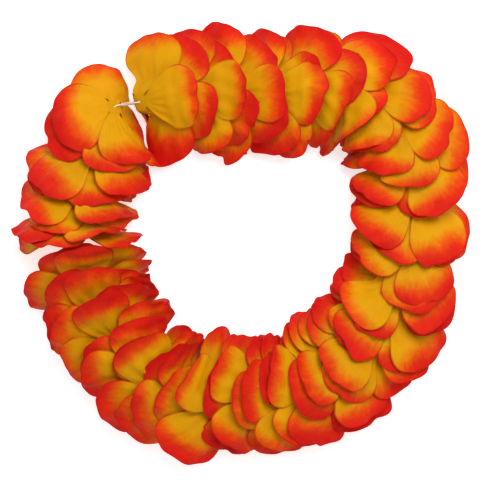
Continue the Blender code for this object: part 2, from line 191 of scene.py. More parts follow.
# What the cloth of one petal differs by from the next: scallops and a peak of its rim, ripples,
# a pressed fold and a lifted corner, in mm; the counts of scallops and ripples; turns in degrees
RELIEF_SEED = 11
SCALLOP_RANGE = (0.1, 0.55)
SCALLOPS = (3, 7)
RIPPLE_RANGE = (0.15, 0.4)
RIPPLES = (7, 12)
FOLD_RANGE = (-1.6, 2.2)
FOLD_TURN_RANGE = (-16, 16)
CORNERS = (0, 1, 2.5, 4, 6, -1.2)
CORNER_TURN_RANGE = (-60, 60)
PEAKS = (0, 0, 1.5, 3, 4.5)

# How these forms are shaped: the small scallops are shares of the large ones in height and count,
# a rise is the power by which something grows outwards, and the peak's width is in radians
SMALL_SCALLOP = 0.5
SMALL_SCALLOPS = 2.5
SCALLOP_RISE = 6
PEAK_RISE = 4
PEAK_WIDTH = 0.16
FOLD_WIDTH = 4.5 * MM
CORNER_FROM = 0.66
CORNER_LIMIT = 1.3
CORNER_RISE = 1.6

# Slow waves that cross each petal three ways, which turn by so many radians from one petal to the
# next, and the pleats that run out from the eye
CRUMPLE = 0.42 * MM
CRUMPLE_PITCHES = (14 * MM, 20 * MM, 29 * MM)
CRUMPLE_TURN = 1.7
GATHER = 0.45 * MM
GATHER_PITCH = math.radians(17)

# Where each of these comes in and goes out again, as shares of a petal's length
RIPPLES_IN = (0.5, 1)
FOLD_IN = (0.15, 0.35)
FOLD_OUT = (0.5, 0.9)
CRUMPLE_IN = (0.15, 0.45)
GATHER_IN = (0.16, 0.32)
GATHER_OUT = (0.3, 0.7)

# The cord's twisted strands, and the strings of its knot
STRANDS = 3
STRAND_RADIUS = 0.27 * MM
STRAND_OFFSET = 0.25 * MM
STRAND_PITCH = 4.5 * MM
STRAND_STEPS = 7
KNOT_STEPS = 24
TAIL_STEPS = 8
TAIL_RADIUS = 0.42 * MM
TAIL_SAG = 2 * MM

# The sides of round pieces, and the angle from which an edge stays sharp
STRAW_SIDES = 20
EYE_SIDES = (32, 12)
CREASE_ANGLE = math.radians(50)

# The dye: its colour from the eye to the tip, as shares of a petal's length, and how that place
# moves from one petal to the next, from one side to the other, and towards both sides
DYE_STOPS = [
    (0.00, (0.66, 0.300, 0.0)),
    (0.58, (0.70, 0.310, 0.0)),
    (0.68, (0.72, 0.190, 0.0)),
    (0.76, (0.72, 0.080, 0.001)),
    (0.86, (0.68, 0.022, 0.003)),
    (1.00, (0.60, 0.007, 0.004)),
]
DYE_SHIFT_RANGE = (-0.15, 0.08)
DYE_LEAN_RANGE = (-0.10, 0.10)
DYE_RIM_RANGE = (0.0, 0.28)

# The rim's darker line, partly red dye and partly painted shade where the domed petal's edge turns away:
# its colour, how it fades inwards, and where along a petal it comes in
RIM_DYE_AND_SHADE_COLOUR = (0.48, 0.007, 0.004, 1)
RIM_LINE = (0.015, 0.06)
RIM_DYE_AND_SHADE_STRENGTH = 0.85
RIM_IN = (0.35, 0.6)
RIM_LEAST = 0.1

# How uneven the dye is: how fine its blots, specks and streaks are, and how far each moves it. The
# streaks fan out from this far behind the eye, and each petal has a pattern and tone of its own.
BLOT_SCALE = 40
BLOT_SHARE = 0.32
SPECK_SCALE = 420
SPECK_SHARE = 0.08
STREAK_SCALE = 16
STREAK_SHARE = 0.16
STREAK_EYE = 10 * MM
STREAK_STRETCH = 6
PETAL_SLICE = 0.037
TONE_SCALE = 22
TONE_STOPS = [(0.3, (0.86, 0.86, 0.86)), (0.7, (1, 1, 1))]

# The small relief of the weave and the streaks
WEAVE_SCALE = 700
WEAVE_HEIGHT = 0.3
STREAK_HEIGHT = 6
BUMP_STRENGTH = 0.5
BUMP_DEPTH = 0.1 * MM

# The room: a glowing floor just below the flowers, an even sky and one soft box
FLOOR_SIZE = 8
FLOOR_DROP = 0.4 * MM
FLOOR_GLOW = 0.55
SKY_STRENGTH = 0.6
LAMP_POWER = 16
LAMP_SIZE = 0.8
LAMP_PLACE = (0.3, 0.6, 1.3)

# The view: straight down, with the photograph's frame of 500 by 486 and 0.92 mm to a pixel
PIXEL = 0.92 * MM
FRAME_WIDTH = 500
CAMERA_HEIGHT = 1.6
CAMERA_PLACE = (7.62 * MM, 0.0)
SENSOR = 36


@dataclass
class Petal:
    """One petal's shape and place; angles in radians, lengths in metres."""
    way: int
    station: float
    dip: float
    yaw: float
    turn: float
    lift: float
    cup: float
    bow: float
    curl: float
    dome: float
    twist: float
    wave: float
    phase: float
    width: float
    length: float
    notch: float
    droop: float
    push: float = 0.0


def smooth(value):
    """Eases from 0 to 1 as the value goes from 0 to 1."""
    value = np.clip(value, 0, 1)
    return value * value * (3 - 2 * value)


class Route:
    """The closed curve of the thread, read by distance along it."""

    def __init__(self):
        places = (np.array([flower[:2] for flower in FLOWERS]) + MIDDLE) * MM
        before, after = np.roll(places, 1, 0), np.roll(places, -1, 0)
        beyond = np.roll(places, -2, 0)
        stretches = []
        for t in np.arange(ROUTE_STEPS) / ROUTE_STEPS:
            stretches.append(0.5 * (2 * places + (after - before) * t
                                    + (2 * before - 5 * places + 4 * after - beyond) * t ** 2
                                    + (3 * places - before - 3 * after + beyond) * t ** 3))
        points = np.stack(stretches, axis=1).reshape(-1, 2)
        steps = np.linalg.norm(np.roll(points, -1, 0) - points, axis=1)
        travelled = np.concatenate([[0], np.cumsum(steps)])
        self.distances = travelled
        self.length = travelled[-1]
        self.stations = travelled[:-1:ROUTE_STEPS]
        self.points = np.vstack([points, points[:1]])
        aims = (np.roll(points, -1, 0) - points) / steps[:, None]
        eased = sum(np.roll(aims, shift, 0) for shift in range(-ROUTE_STEPS, ROUTE_STEPS))
        self.aims = np.vstack([eased, eased[:1]])

    def read(self, table, distance):
        """One column pair of the curve's tables at these distances."""
        distance = np.mod(distance, self.length)
        return [np.interp(distance, self.distances, table[:, axis]) for axis in (0, 1)]

    def to_world(self, along, out, up):
        """Bends thread coordinates (along, out of the loop, up) round the loop."""
        x, y = self.read(self.points, along)
        aim_x, aim_y = self.read(self.aims, along)
        size = np.hypot(aim_x, aim_y)
        return np.stack([x - aim_y / size * out, y + aim_x / size * out, up + THREAD_HEIGHT], axis=-1)


def push_share(reach):
    """How much of a petal's push acts this far from the eye: none at its root, all beyond."""
    return smooth((reach - PUSH_START) / PUSH_SPREAD)


def flat_petal(petal, across, along):
    """Turns unit-square coordinates into a round petal laid flat: sideways and from the eye."""
    wide = across * np.sqrt(1 - along ** 2 / 2)
    part = (along * np.sqrt(1 - across ** 2 / 2) + 1) / 2
    root, swell, narrow = OUTLINE
    side = wide * petal.width / 2 * (root + swell * part + narrow * part ** 2)
    reach = PETAL_ROOT + (petal.length - PETAL_ROOT) * part
    reach = reach - petal.notch * np.exp(-(side / NOTCH_WIDTH) ** 2) * part ** 6
    return side, reach


def petal_hollow(petal, side, reach):
    """How far a petal's edges stand forward of its middle line, with its twist and waves."""
    across = side / (PETAL_WIDTH / 2)
    grow = smooth((reach - DOME_FROM) / DOME_SPREAD)
    hollow = petal.dome * across ** 2 * grow
    hollow = hollow + petal.twist * side * smooth((reach - TWIST_FROM) / TWIST_SPREAD)
    waves = np.sin(2 * math.pi * WAVES * across + petal.phase) * (reach / PETAL_LENGTH) ** 3
    return hollow + petal.wave * waves * grow


def curve_petal(petal, side, reach):
    """Bends the flat petal like a spoon: how far it goes out, and how far forward."""
    grid = np.linspace(0, LONGEST, BEND_STEPS)
    share = grid / PETAL_LENGTH
    slope = petal.cup * smooth(grid / CUP_SPREAD)
    slope = slope + petal.bow * (share - BOW_TURN) * smooth(grid / BOW_SPREAD)
    slope = slope + petal.curl * np.clip((share - CURL_FROM) / (1 - CURL_FROM), 0, CURL_LIMIT) ** 2
    middles = (slope[1:] + slope[:-1]) / 2
    outs = np.concatenate([[0], np.cumsum(np.cos(middles) * grid[1])])
    forwards = np.concatenate([[0], np.cumsum(np.sin(middles) * grid[1])])
    here = np.interp(reach, grid, slope)
    hollow = petal_hollow(petal, side, reach)
    out = np.interp(reach, grid, outs) - hollow * np.sin(here)
    forward = np.interp(reach, grid, forwards) + petal.lift + hollow * np.cos(here)
    return out, forward


def petal_surface(petal, side, reach):
    """Points of the flat petal on its bent middle surface, in thread coordinates."""
    out, forward = curve_petal(petal, side, reach)
    level = out * math.cos(petal.turn) - side * math.sin(petal.turn)
    rise = out * math.sin(petal.turn) + side * math.cos(petal.turn)
    ahead = math.cos(petal.dip) * forward + math.sin(petal.dip) * rise
    ahead = petal.way * (ahead + petal.push * push_share(reach))
    up = math.cos(petal.dip) * rise - math.sin(petal.dip) * forward
    ahead, level = (ahead * math.cos(petal.yaw) - level * math.sin(petal.yaw),
                    ahead * math.sin(petal.yaw) + level * math.cos(petal.yaw))
    share = np.clip(reach / PETAL_LENGTH, 0, 1.2)
    up = up - petal.droop * share ** 2 * abs(math.cos(petal.turn))
    height = up + THREAD_HEIGHT - LOWEST
    eased = FLOOR_EASE * np.exp((np.minimum(height, FLOOR_EASE) - FLOOR_EASE) / FLOOR_EASE)
    eased = np.where(height < FLOOR_EASE, eased, height)
    ahead = ahead + petal.way * FLOOR_SPREAD * (eased - height)
    return petal.station + ahead, level, eased - THREAD_HEIGHT + LOWEST


def draw_petals(route):
    """The petals of every flower, eight to each: the back layer's, then the front layer's."""
    draw = random.Random(SEED)
    flowers = []
    for station, flower in zip(route.stations, FLOWERS):
        way, dip, yaw, roll, close = flower[2:]
        lean = LAST_LEAN if flower is FLOWERS[-1] else LOWER_LEAN
        yaw += draw.uniform(*YAW_RANGE)
        layer_turn = draw.uniform(*LAYER_TURN_RANGE) * draw.choice((-1, 1))
        petals = []
        for number in range(2 * PETALS_IN_LAYER):
            front = number >= PETALS_IN_LAYER
            place = number % PETALS_IN_LAYER
            spread = place * 360 / PETALS_IN_LAYER
            turn = math.radians(roll + spread + draw.uniform(*TURN_RANGE) + front * layer_turn)
            cup = close + (FRONT_CUP if front else BACK_CUP) + draw.uniform(*CUP_RANGE)
            cup += UPPER_FALL * max(0, math.sin(turn))
            down = max(0, -math.sin(turn)) ** 2
            cup = cup * (1 - down) + (dip - lean) * down
            petals.append(Petal(
                way=way, station=station, dip=math.radians(dip), yaw=math.radians(yaw),
                turn=turn, lift=(LAYER_LIFT if front else -LAYER_LIFT),
                cup=math.radians(cup),
                bow=math.radians(draw.uniform(*BOW_RANGE)),
                curl=math.radians(draw.uniform(*CURL_RANGE)),
                dome=draw.uniform(*DOME_RANGE) * MM, twist=draw.uniform(*TWIST_RANGE),
                wave=draw.uniform(*WAVE_RANGE) * MM, phase=draw.uniform(0, 2 * math.pi),
                width=PETAL_WIDTH * draw.uniform(*WIDTH_RANGE),
                length=PETAL_LENGTH * draw.uniform(*LENGTH_RANGE),
                notch=draw.choice(NOTCHES) * MM, droop=draw.uniform(*DROOP_RANGE) * MM))
        flowers.append(petals)
    return flowers


class Pile:
    """How far along the thread the petals placed so far reach, over cells of its cross-section."""
    points = np.meshgrid(np.linspace(-1, 1, READ_COLUMNS),
                         np.linspace(READ_START, 1, READ_ROWS), indexing="ij")
    count = int(2 * MAP_HALF / CELL)

    def __init__(self, sense, start):
        self.sense = sense
        self.reached = np.full((self.count, self.count), sense * start)

    def copy(self):
        """A pile that reaches as far as this one, and grows on its own."""
        twin = Pile(self.sense, 0)
        twin.reached = self.reached.copy()
        return twin

    def look(self, petal):
        """The petal's points as cells, their advance in the pile's sense and their reach."""
        side, reach = flat_petal(petal, *self.points)
        along, level, up = petal_surface(petal, side, reach)
        columns = np.clip(((level + MAP_HALF) / CELL).astype(int), 0, self.count - 1)
        rows = np.clip(((up + MAP_HALF) / CELL).astype(int), 0, self.count - 1)
        return (columns, rows), self.sense * along, reach

    def add(self, petal, beyond):
        """Counts the petal in, from this far out of its eye."""
        cells, advance, reach = self.look(petal)
        used = reach > beyond
        np.maximum.at(self.reached, (cells[0][used], cells[1][used]), advance[used])

    def clear(self, petal, gap, beyond):
        """Bends the petal on in the pile's sense until it lies clear of the pile."""
        for _ in range(PUSH_STEPS):
            cells, advance, reach = self.look(petal)
            used = reach > beyond
            squeeze = 1 + np.minimum(cells[0] * CELL - MAP_HALF, 0) / INNER_RADIUS
            lack = (self.reached[cells] + gap / squeeze - advance)[used]
            needs = np.where(lack > 0, lack / push_share(reach[used]), 0)
            need = np.percentile(needs, SETTLED_SHARE)
            if need < PUSH_ENOUGH:
                return
            petal.push += self.sense * petal.way * min(need, PUSH_STEP)


def settle_flower(petals, pile):
    """Bends a flower clear of the pile, the layer next to the pile first, and counts it in."""
    back, front = petals[:PETALS_IN_LAYER], petals[PETALS_IN_LAYER:]
    near, far = (back, front) if pile.sense == petals[0].way else (front, back)
    for petal in near:
        pile.clear(petal, NEIGHBOUR_GAP, CLEAR_FROM)
    own = pile.copy()
    for petal in near:
        own.add(petal, LAYER_FROM)
    for petal in far:
        pile.clear(petal, NEIGHBOUR_GAP, CLEAR_FROM)
        own.clear(petal, LAYER_GAP, FAR_LAYER_FROM)
    for petal in petals:
        pile.add(petal, COUNT_FROM)


def arrange(route):
    """Settles the run that topples clockwise, then the other run back to where they meet.

    The two runs part a little behind the first flower, and no petal crosses over there.
    """
    flowers = draw_petals(route)
    meeting = next(number for number, flower in enumerate(FLOWERS) if flower[2] < 0)
    clockwise = Pile(1, -PARTING)
    for petals in flowers[:meeting + 1]:
        settle_flower(petals, clockwise)
    backward = Pile(-1, route.length - PARTING)
    for petals in reversed(flowers[meeting + 1:]):
        settle_flower(petals, backward)
    return flowers


@dataclass
class Relief:
    """The fine shape and dye of one petal."""
    scallop: float
    scallops: float
    scallop_phase: float
    ripple: float
    ripples: float
    ripple_phase: float
    fold: float
    fold_turn: float
    corner: float
    corner_turn: float
    peak: float
    dye_shift: float
    dye_lean: float
    dye_rim: float
    number: float


def draw_relief(draw, number):
    """One petal's fine shape and dye."""
    return Relief(
        scallop=draw.uniform(*SCALLOP_RANGE) * MM, scallops=draw.uniform(*SCALLOPS),
        scallop_phase=draw.uniform(0, 2 * math.pi),
        ripple=draw.uniform(*RIPPLE_RANGE) * MM, ripples=draw.uniform(*RIPPLES),
        ripple_phase=draw.uniform(0, 2 * math.pi), fold=draw.uniform(*FOLD_RANGE) * MM,
        fold_turn=math.radians(draw.uniform(*FOLD_TURN_RANGE)),
        corner=draw.choice(CORNERS) * MM, corner_turn=math.radians(draw.uniform(*CORNER_TURN_RANGE)),
        peak=draw.choice(PEAKS) * MM,
        dye_shift=draw.uniform(*DYE_SHIFT_RANGE), dye_lean=draw.uniform(*DYE_LEAN_RANGE),
        dye_rim=draw.uniform(*DYE_RIM_RANGE), number=number)


def grid_faces(columns, rows):
    """The quads of a grid of points, row by row, as indices."""
    corner = np.arange(columns)[None, :] + (columns + 1) * np.arange(rows)[:, None]
    corner = corner.reshape(-1)
    return np.stack([corner, corner + 1, corner + columns + 2, corner + columns + 1], axis=1)


def fine_outline(petal, relief):
    """A fine petal laid flat: each point's side and reach, and how far in from the rim it is."""
    across, along = np.meshgrid(np.linspace(-1, 1, FINE_COLUMNS + 1),
                                np.linspace(FINE_START, 1, FINE_ROWS + 1))
    side, reach = flat_petal(petal, across, along)
    grown = (along - FINE_START) / (1 - FINE_START)
    share = smooth(grown / RING_BLEND)
    side = RING_RADIUS * np.sin(across * ROOT_HALF_ANGLE) * (1 - share) + side * share
    reach = RING_RADIUS * np.cos(across * ROOT_HALF_ANGLE) * (1 - share) + reach * share
    fan = np.arctan2(side, reach)
    turn = 2 * relief.scallops * fan
    wave = np.sin(turn + relief.scallop_phase)
    wave = wave + SMALL_SCALLOP * np.sin(SMALL_SCALLOPS * turn + 2 * relief.scallop_phase)
    peak = np.exp(-((fan - relief.corner_turn / 2) / PEAK_WIDTH) ** 2)
    reach = reach + relief.scallop * wave * grown ** SCALLOP_RISE + relief.peak * peak * grown ** PEAK_RISE
    return side, reach, 1 - np.maximum(np.abs(across), along)


def surface_normals(points):
    """The unit normals of a grid of points."""
    normals = np.cross(np.gradient(points, axis=1), np.gradient(points, axis=0))
    return normals / np.linalg.norm(normals, axis=-1, keepdims=True)


def ease(share, zone):
    """Goes from 0 to 1 as a share of a petal's length goes from a zone's start to its end."""
    start, end = zone
    return smooth((share - start) / (end - start))


def crumple(relief, side, reach, share):
    """Slow waves of handled cloth, that cross each petal in directions of its own."""
    height = np.zeros_like(side)
    for order, pitch in enumerate(CRUMPLE_PITCHES):
        turn = relief.number * CRUMPLE_TURN + order * 2 * math.pi / len(CRUMPLE_PITCHES)
        along = side * math.cos(turn) + reach * math.sin(turn)
        height += np.sin(2 * math.pi * along / pitch + relief.number + order)
    return CRUMPLE * height * ease(share, CRUMPLE_IN)


def gather(relief, fan, share):
    """The pleats that run out from the eye and fade before the middle of a petal."""
    pleats = np.sin(2 * math.pi * fan / GATHER_PITCH + relief.ripple_phase)
    return GATHER * pleats * ease(share, GATHER_IN) * (1 - ease(share, GATHER_OUT))


def pressed_fold(relief, side, reach, share):
    """One soft fold that was pressed into the petal, nearly along it."""
    beside = side * math.cos(relief.fold_turn) - reach * math.sin(relief.fold_turn)
    ridge = np.exp(-(beside / FOLD_WIDTH) ** 2)
    return relief.fold * ridge * ease(share, FOLD_IN) * (1 - ease(share, FOLD_OUT))


def lifted_corner(relief, side, reach):
    """One side of the tip that stands out of the petal."""
    towards = side * math.sin(relief.corner_turn) + reach * math.cos(relief.corner_turn)
    lifted = (towards / PETAL_LENGTH - CORNER_FROM) / (1 - CORNER_FROM)
    return relief.corner * np.clip(lifted, 0, CORNER_LIMIT) ** CORNER_RISE


def fine_relief(relief, side, reach, share):
    """How far each point of a petal stands out with all the unevenness of its cloth."""
    fan = np.arctan2(side, reach)
    ripples = np.sin(2 * relief.ripples * fan + relief.ripple_phase)
    return (relief.ripple * ripples * ease(share, RIPPLES_IN) + lifted_corner(relief, side, reach)
            + crumple(relief, side, reach, share) + gather(relief, fan, share)
            + pressed_fold(relief, side, reach, share))


def fine_petal(petal, relief, route):
    """A fine petal's points in the world, with the dye, rim and cloth values of each."""
    side, reach, rim = fine_outline(petal, relief)
    points = route.to_world(*petal_surface(petal, side, reach))
    share = reach / petal.length
    height = fine_relief(relief, side, reach, share)
    points = points + surface_normals(points) * height[..., None]
    points[..., 2] = np.maximum(points[..., 2], LOWEST)
    across = side / (PETAL_WIDTH / 2)
    dye = share + relief.dye_shift + relief.dye_lean * across + relief.dye_rim * across ** 2
    cloth = np.stack([side, reach, np.full_like(side, relief.number)], axis=-1)
    return points.reshape(-1, 3), dye.reshape(-1), rim.reshape(-1), cloth.reshape(-1, 3)


def add_values(mesh, name, values):
    """Keeps a number or a triple of numbers for each point of a mesh, for its material."""
    kind, key = ("FLOAT_VECTOR", "vector") if values.ndim == 2 else ("FLOAT", "value")
    mesh.attributes.new(name, kind, "POINT").data.foreach_set(key, values.reshape(-1))


def linked(name, data):
    """A new object in the scene."""
    made = bpy.data.objects.new(name, data)
    bpy.context.scene.collection.objects.link(made)
    return made


def freeze(thing):
    """Makes an object's modifiers its own mesh."""
    graph = bpy.context.evaluated_depsgraph_get()
    mesh = bpy.data.meshes.new_from_object(thing.evaluated_get(graph))
    thing.modifiers.clear()
    thing.data = mesh


def shade_smooth(mesh):
    """Shades a mesh smooth, apart from its sharp edges."""
    mesh.polygons.foreach_set("use_smooth", np.ones(len(mesh.polygons), dtype=bool))
    mesh.set_sharp_from_angle(angle=CREASE_ANGLE)


def dress(thing, finish, node):
    """Gives a piece its material, hangs it on the root body, and hides the solid that it stands for."""
    thing.data.materials.clear()
    thing.data.materials.append(finish)
    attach(thing, "root")
    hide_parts(node)


def layer_sheet(petals, reliefs, route):
    """One layer of fabric: four fine petals round a flat middle, with the cloth's thickness."""
    blocks = [fine_petal(petal, relief, route) for petal, relief in zip(petals, reliefs)]
    size = (FINE_COLUMNS + 1) * (FINE_ROWS + 1)
    middle = np.mean([block[0][:FINE_COLUMNS + 1].mean(0) for block in blocks], axis=0)
    blocks.append((middle[None], np.zeros(1), np.ones(1), np.zeros((1, 3))))
    points, dye, rim, cloth = [np.concatenate(column) for column in zip(*blocks)]
    quads = grid_faces(FINE_COLUMNS, FINE_ROWS)
    faces = np.concatenate([quads + number * size for number in range(len(petals))]).tolist()
    ring = [number * size + column for number in range(len(petals))
            for column in range(FINE_COLUMNS + 1)]
    faces += [(len(points) - 1, after, here) for here, after in zip(ring, ring[1:] + ring[:1])]
    mesh = bpy.data.meshes.new("Layer")
    mesh.from_pydata(points.tolist(), [], faces)
    add_values(mesh, "dye", dye)
    add_values(mesh, "rim", rim)
    add_values(mesh, "cloth", cloth)
    made = linked("Layer", mesh)
    thick = made.modifiers.new("Cloth", "SOLIDIFY")
    thick.thickness = CLOTH
    thick.offset = 0
    freeze(made)
    return made


def eye_aim(petal, route):
    """The direction that a petal's flower faces, in the world."""
    ahead = math.cos(petal.dip) * petal.way * MM
    tip = route.to_world(petal.station + ahead * math.cos(petal.yaw), ahead * math.sin(petal.yaw),
                         -math.sin(petal.dip) * MM)
    return Vector(tip - route.to_world(petal.station, 0, 0)).normalized()


def eye_ring(petal, place, route):
    """The rounded eye that a flower's layers are joined at."""
    aim = eye_aim(petal, route).to_track_quat("Z", "Y").to_euler()
    bpy.ops.mesh.primitive_torus_add(major_segments=EYE_SIDES[0], minor_segments=EYE_SIDES[1],
                                     major_radius=(EYE_RADIUS + EYE_BORE) / 2,
                                     minor_radius=(EYE_RADIUS - EYE_BORE) / 2,
                                     location=place, rotation=aim)
    made = bpy.context.object
    count = len(made.data.vertices)
    add_values(made.data, "dye", np.zeros(count))
    add_values(made.data, "rim", np.ones(count))
    add_values(made.data, "cloth", np.zeros((count, 3)))
    return made


def join(name, things):
    """Makes one smooth object of several, at the origin."""
    with bpy.context.temp_override(active_object=things[0], object=things[0],
                                   selected_objects=things, selected_editable_objects=things):
        bpy.ops.object.join()
    made = things[0]
    made.name = name
    made.data.transform(made.matrix_world)
    made.matrix_world.identity()
    shade_smooth(made.data)
    return made


def fine_bloom(number, petals, route, place, draw, finish):
    """One flower of fine petals in place of its plain solid."""
    reliefs = [draw_relief(draw, number * len(petals) + count) for count in range(len(petals))]
    half = PETALS_IN_LAYER
    layers = [layer_sheet(petals[:half], reliefs[:half], route),
              layer_sheet(petals[half:], reliefs[half:], route)]
    made = join(f"flower_{number + 1:02d}", layers + [eye_ring(petals[0], place, route)])
    dress(made, finish, f"bloom_{number + 1:02d}")


def straw_ends(node):
    """The two ends of a straw's middle line, from its solid."""
    points = np.array([vertex.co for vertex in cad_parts[node].data.vertices])
    middle = points.mean(0)
    axis = np.linalg.svd(points - middle)[2][0]
    along = (points - middle) @ axis
    return Vector(middle + axis * along.min()), Vector(middle + axis * along.max())


def fine_straw(number, finish):
    """One smooth thin-walled straw."""
    node = f"straw_{number:02d}"
    start, end = straw_ends(node)
    bpy.ops.mesh.primitive_cylinder_add(vertices=STRAW_SIDES, radius=STRAW_RADIUS,
                                        depth=(end - start).length, end_fill_type="NOTHING")
    made = bpy.context.object
    made.name = f"clear_{node}"
    wall = made.modifiers.new("Wall", "SOLIDIFY")
    wall.thickness = STRAW_RADIUS - STRAW_BORE
    wall.offset = -1
    freeze(made)
    turn = (end - start).to_track_quat("Z", "Y").to_matrix().to_4x4()
    turn.translation = (start + end) / 2
    made.data.transform(turn)
    shade_smooth(made.data)
    dress(made, finish, node)


def cord_route(route):
    """The corners between the cord's straight stretches, through every eye and back round."""
    level = np.zeros(len(route.stations))
    places = route.to_world(route.stations, level, level)
    forward = np.roll(places, -1, 0) - places
    forward = forward / np.linalg.norm(forward, axis=1, keepdims=True)
    aims = forward + np.roll(forward, 1, 0)
    aims = aims / np.linalg.norm(aims, axis=1, keepdims=True) * THREAD_STRAIGHT
    return np.stack([places - aims, places + aims], axis=1).reshape(-1, 3)


def strand_points(corners, phase):
    """One strand's points as it winds round the cord's middle line."""
    closed = np.vstack([corners, corners[:1]])
    travelled = np.concatenate([[0], np.cumsum(np.linalg.norm(np.diff(closed, axis=0), axis=1))])
    turns = round(travelled[-1] / STRAND_PITCH)
    along = np.linspace(0, travelled[-1], turns * STRAND_STEPS, endpoint=False)
    middle = np.stack([np.interp(along, travelled, closed[:, axis]) for axis in range(3)], axis=1)
    ahead = np.roll(middle, -1, 0) - np.roll(middle, 1, 0)
    side = np.cross(ahead / np.linalg.norm(ahead, axis=1, keepdims=True), (0, 0, 1))
    angle = (2 * math.pi * turns * along / travelled[-1] + phase)[:, None]
    return middle + STRAND_OFFSET * (side * np.cos(angle) + np.array([0, 0, 1]) * np.sin(angle))


def string(points, radius, closed):
    """A round string through these points."""
    curve = bpy.data.curves.new("String", "CURVE")
    curve.dimensions = "3D"
    curve.bevel_depth = radius
    curve.bevel_resolution = 2
    curve.use_fill_caps = True
    run = curve.splines.new("POLY")
    run.points.add(len(points) - 1)
    run.points.foreach_set("co", np.column_stack([points, np.ones(len(points))]).reshape(-1))
    run.use_cyclic_u = closed
    guide = linked("String", curve)
    graph = bpy.context.evaluated_depsgraph_get()
    made = linked("String", bpy.data.meshes.new_from_object(guide.evaluated_get(graph)))
    bpy.data.objects.remove(guide)
    return made


def knot_strings(corners):
    """The knot that closes the cord, as two rings round it, with its two cut tails."""
    start, end = corners[2 * KNOT_AFTER + 1], corners[2 * KNOT_AFTER + 2]
    middle = (start + end) / 2
    aim = (end - start) / np.linalg.norm(end - start)
    up = np.array([0, 0, 1])
    side = np.cross(aim, up)
    angle = np.linspace(0, 2 * math.pi, KNOT_STEPS, endpoint=False)[:, None]
    share = np.linspace(0, 1, TAIL_STEPS)[:, None]
    strings = []
    for lean in (-1, 1):
        across = (side - KNOT_LEAN * lean * aim) / math.hypot(1, KNOT_LEAN)
        ring = middle + KNOT_RADIUS * (across * np.cos(angle) + up * np.sin(angle))
        strings.append(string(ring, THREAD_RADIUS, True))
        tail = side * lean + up + aim * lean
        tail = tail / np.linalg.norm(tail) * TAIL_LENGTH
        strings.append(string(middle + tail * share - TAIL_SAG * up * share ** 2, TAIL_RADIUS, False))
    return strings


def fine_cord(route, finish):
    """The cord: three strands twisted round each other, and its knot."""
    corners = cord_route(route)
    strands = [string(strand_points(corners, turn * 2 * math.pi / STRANDS), STRAND_RADIUS, True)
               for turn in range(STRANDS)]
    dress(join("twisted_cord", strands + knot_strings(corners)), finish, "thread")


class Nodes:
    """A material's nodes, made and linked in short calls."""

    def __init__(self, name):
        self.material = bpy.data.materials.new(name)
        self.material.use_nodes = True
        self.tree = self.material.node_tree

    def add(self, kind, inputs=(), **settings):
        """A node with its settings, and its inputs as numbers or as other nodes' outputs."""
        made = self.tree.nodes.new(kind)
        for key, value in settings.items():
            setattr(made, key, value)
        for key, value in dict(inputs).items():
            self.feed(made.inputs[key], value)
        return made

    def feed(self, socket, value):
        """Sets a socket to a value, or links an output to it."""
        if isinstance(value, bpy.types.NodeSocket):
            self.tree.links.new(value, socket)
        else:
            socket.default_value = value

    def surface(self, inputs):
        """Sets the shader's own inputs, and gives back the material."""
        for key, value in inputs.items():
            self.feed(self.tree.nodes["Principled BSDF"].inputs[key], value)
        return self.material

    def combine(self, first, second, operation="ADD"):
        """A sum or another operation of two numbers."""
        return self.add("ShaderNodeMath", {0: first, 1: second}, operation=operation).outputs[0]

    def between(self, value, zone, first, last):
        """Goes from a first number to a last one as a value goes through a zone."""
        inputs = {"Value": value, "From Min": zone[0], "From Max": zone[1],
                  "To Min": first, "To Max": last}
        return self.add("ShaderNodeMapRange", inputs).outputs[0]

    def noise(self, vector, scale, detail=2, roughness=0.5):
        """Noise over a vector, from 0 to 1."""
        inputs = {"Vector": vector, "Scale": scale, "Detail": detail, "Roughness": roughness}
        return self.add("ShaderNodeTexNoise", inputs).outputs["Fac"]

    def uneven(self, vector, scale, roughness=0.5):
        """Noise over a vector with more detail, from -0.5 to 0.5."""
        return self.combine(self.noise(vector, scale, 3, roughness), 0.5, "SUBTRACT")

    def ramp(self, value, stops):
        """A colour for a value, through stops of place and colour."""
        made = self.add("ShaderNodeValToRGB", {"Fac": value})
        elements = made.color_ramp.elements
        while len(elements) < len(stops):
            elements.new(0.5)
        for element, (place, colour) in zip(elements, stops):
            element.position = place
            element.color = (*colour, 1)
        return made.outputs["Color"]

    def mix(self, share, first, second, blend="MIX"):
        """Two colours mixed."""
        made = self.add("ShaderNodeMix", data_type="RGBA", blend_type=blend)
        self.feed(made.inputs["Factor"], share)
        self.feed(made.inputs[6], first)
        self.feed(made.inputs[7], second)
        return made.outputs[2]


def dye_streaks(looks, cloth):
    """Streaks of the dye that fan out from the eye."""
    parts = looks.add("ShaderNodeSeparateXYZ", {"Vector": cloth}).outputs
    fan = looks.combine(parts["X"], looks.combine(parts["Y"], STREAK_EYE), "DIVIDE")
    along = looks.combine(parts["Y"], STREAK_STRETCH, "MULTIPLY")
    rays = looks.add("ShaderNodeCombineXYZ", {"X": fan, "Y": along, "Z": parts["Z"]}).outputs[0]
    return looks.uneven(rays, STREAK_SCALE, roughness=0.6)


def dye_colour(looks, cloth, dye, streaks):
    """The dye's colour, with its place along the petal made uneven, and dulled in soft patches."""
    spread = looks.add("ShaderNodeVectorMath", {0: cloth, 1: (1, 1, PETAL_SLICE)},
                       operation="MULTIPLY").outputs[0]
    blots = looks.uneven(spread, BLOT_SCALE)
    specks = looks.uneven(spread, SPECK_SCALE, roughness=0.6)
    worn = dye
    for spots, share in ((blots, BLOT_SHARE), (specks, SPECK_SHARE), (streaks, STREAK_SHARE)):
        worn = looks.combine(worn, looks.combine(spots, share, "MULTIPLY"))
    tone = looks.ramp(looks.noise(spread, TONE_SCALE), TONE_STOPS)
    return looks.mix(1.0, looks.ramp(worn, DYE_STOPS), tone, "MULTIPLY")


